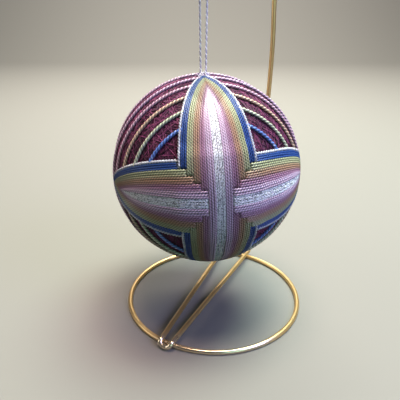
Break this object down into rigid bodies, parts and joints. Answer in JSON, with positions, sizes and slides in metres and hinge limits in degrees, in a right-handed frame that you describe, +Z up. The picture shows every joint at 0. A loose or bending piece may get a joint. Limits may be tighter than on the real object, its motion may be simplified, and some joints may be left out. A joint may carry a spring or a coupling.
{
  "type": "temari ball on wire ornament stand",
  "caption": "Thread-wound ball with crossed leaf-shaped spindles over thread rings, hung by a doubled cord from a bent wire stand on a round wire base.",
  "frame": {"origin": "on the surface that the stand rests on, at the middle of the part's footprint", "axes": "+Z up along the hanging loop, -Y towards the ball's front crossing, +X to its right"},
  "size_m": [0.0972, 0.0968, 0.1944],
  "materials": {
    "thread": "twisted cotton and metallic thread",
    "loop_cord": "metallic twisted cord",
    "brass_wire": "polished wire"
  },
  "bodies": {
    "root": {"temari_ball": "thread", "hanging_loop": "loop_cord", "stand_ring": "brass_wire", "stand_wire": "brass_wire"}
  },
  "joints": []
}
